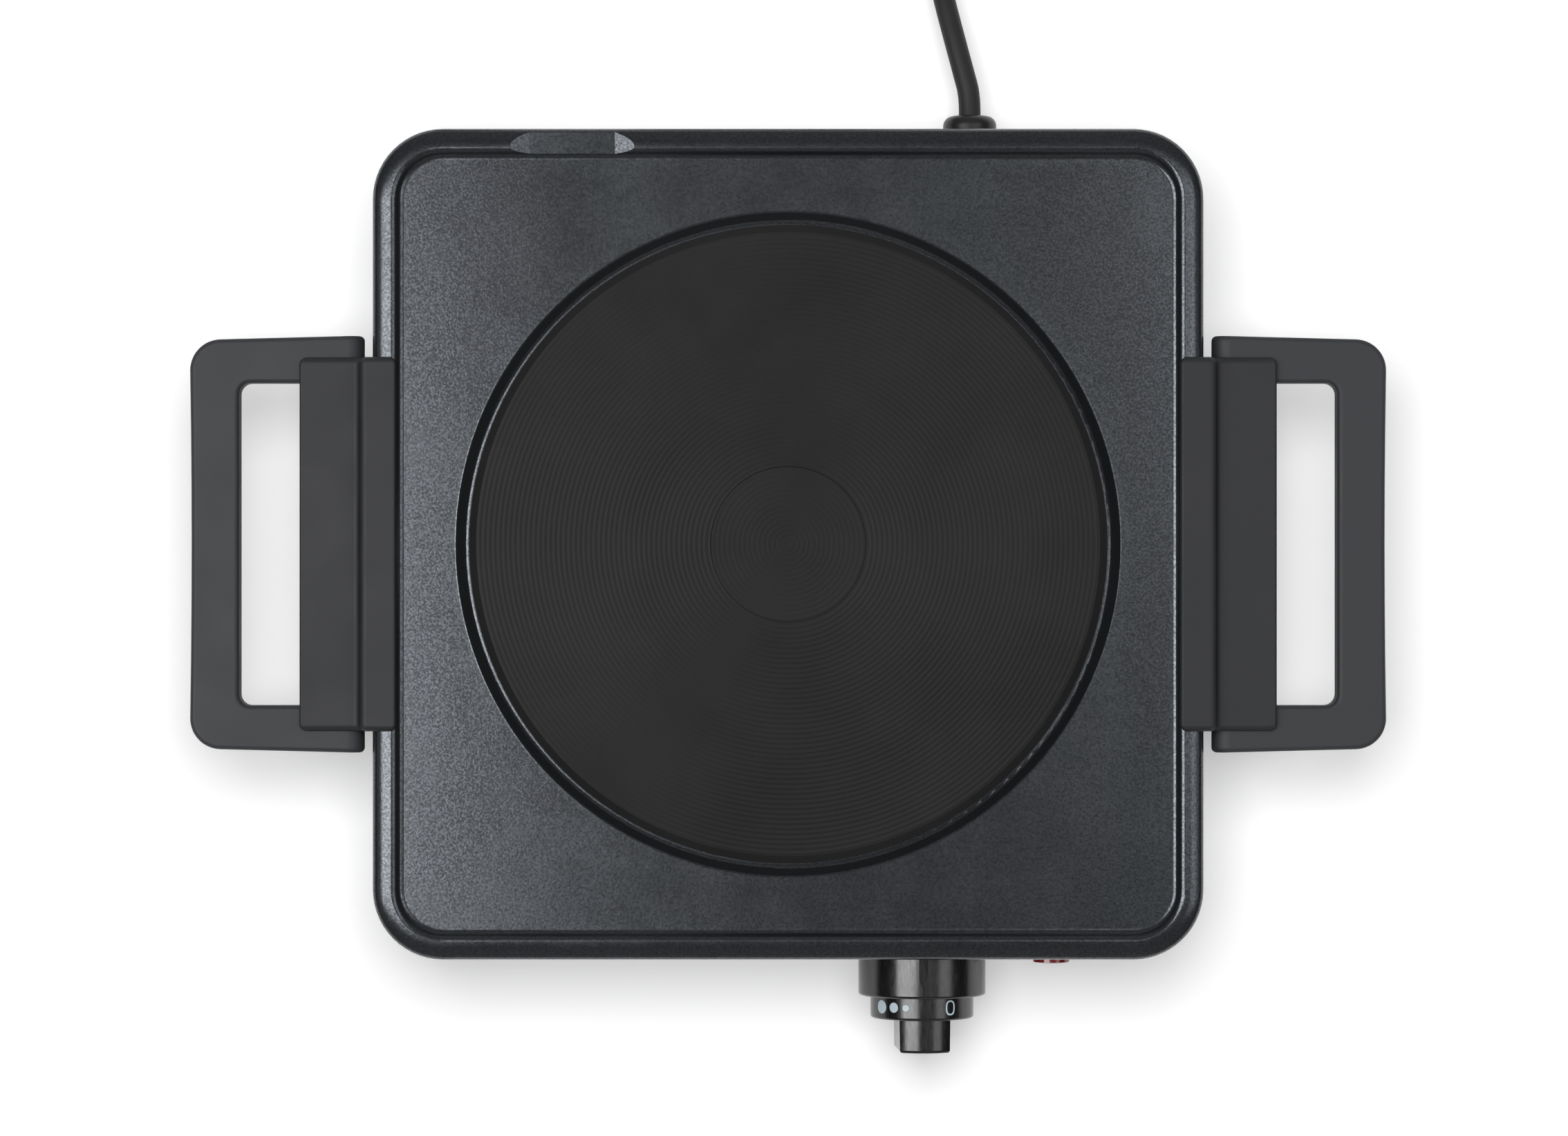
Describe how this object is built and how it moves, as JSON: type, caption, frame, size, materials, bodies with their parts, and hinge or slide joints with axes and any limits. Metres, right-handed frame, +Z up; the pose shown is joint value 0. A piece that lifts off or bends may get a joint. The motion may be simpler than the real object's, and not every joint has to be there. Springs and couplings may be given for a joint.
{
  "type": "electric hot plate",
  "caption": "Square single-burner electric hot plate: round cast-iron plate on a collared steel housing, folding side handles, thermostat knob, pilot light and mains cord.",
  "frame": {"origin": "on the table, under the middle of the outline without the mains cord", "axes": "+Z up, +X to the user's right across both handles, -Y towards the user and the knob"},
  "size_m": [0.3478, 0.4131, 0.0726],
  "materials": {
    "housing_paint": "fine-grained dark grey powder coat",
    "zinc_sheet": "galvanised sheet",
    "plate_iron": "turned face with fine rings, stove-blacked",
    "heater_wire": "oxidised resistance alloy",
    "magnesia": "packed magnesia cement",
    "steatite": "unglazed steatite",
    "zinc_steel": "zinc plate",
    "black_screw": "blackened",
    "brass_part": "plain",
    "bimetal": "plain",
    "handle_plastic": "dark grey heat-proof plastic",
    "bracket_plastic": "dark grey heat-proof plastic",
    "knob_plastic": "polished black",
    "red_lens": "clear dark red",
    "lamp_glass": "clear",
    "holder_plastic": "moulded",
    "gland_plastic": "moulded black",
    "foot_rubber": "black rubber",
    "cord_sheath": "dark grey rubber sheath",
    "tie_band": "black nylon",
    "plug_rubber": "moulded black",
    "plug_metal": "nickel plate",
    "wire_brown": "silicone sleeve",
    "wire_white": "silicone sleeve",
    "wire_blue": "silicone sleeve",
    "wire_green": "silicone sleeve"
  },
  "bodies": {
    "base": {"base_cover": "zinc_sheet", "bracket_nuts": "zinc_steel", "bracket_screws": "black_screw", "bush_nut": "zinc_steel", "cable_cores": "wire_white", "clamp_strap": "zinc_sheet", "coil_tie": "tie_band", "cord_coil": "cord_sheath", "cord_lead": "cord_sheath", "cord_tail": "cord_sheath", "element_cover": "zinc_sheet", "feet": "foot_rubber", "foot_nuts": "zinc_steel", "foot_screws": "zinc_steel", "handle_bracket_left": "bracket_plastic", "handle_bracket_right": "bracket_plastic", "heat_shield": "zinc_sheet", "heater_rings": "heater_wire", "hot_plate": "plate_iron", "housing": "housing_paint", "inner_cable": "cord_sheath", "insulation_bed": "magnesia", "knob_bezel": "knob_plastic", "lamp_holder": "holder_plastic", "lamp_leads": "wire_brown", "pilot_lamp": "lamp_glass", "pilot_lens": "red_lens", "plate_stud": "zinc_steel", "plug_body": "plug_rubber", "plug_earth_strips": "plug_metal", "plug_pins": "plug_metal", "sensing_strip": "bimetal", "strain_relief": "gland_plastic", "stud_nuts": "zinc_steel", "stud_washer": "zinc_steel", "terminal_bead": "steatite", "terminal_block": "steatite", "terminal_screws": "brass_part", "thermostat_body": "steatite", "thermostat_bush": "brass_part", "wire_earth": "wire_green", "wire_heater": "wire_white", "wire_live": "wire_brown", "wire_neutral": "wire_blue"},
    "knob": {"knob": "knob_plastic", "thermostat_spindle": "zinc_steel"},
    "handle_right": {"handle_right": "handle_plastic", "hinge_pins_right": "zinc_steel"},
    "handle_left": {"handle_left": "handle_plastic", "hinge_pins_left": "zinc_steel"}
  },
  "joints": [
    {"name": "knob_turn", "type": "hinge", "parent": "base", "child": "knob", "pos_m": [0.0396, -0.10975, 0.034], "axis": [0, 1, 0], "range_deg": [-32, 58]},
    {"name": "handle_right_fold", "type": "hinge", "parent": "base", "child": "handle_right", "pos_m": [0.1284, 0.01085, 0.0561], "axis": [0, 1, 0], "range_deg": [0, 90]},
    {"name": "handle_left_fold", "type": "hinge", "parent": "base", "child": "handle_left", "pos_m": [-0.1284, 0.01085, 0.0561], "axis": [0, -1, 0], "range_deg": [0, 90]}
  ]
}
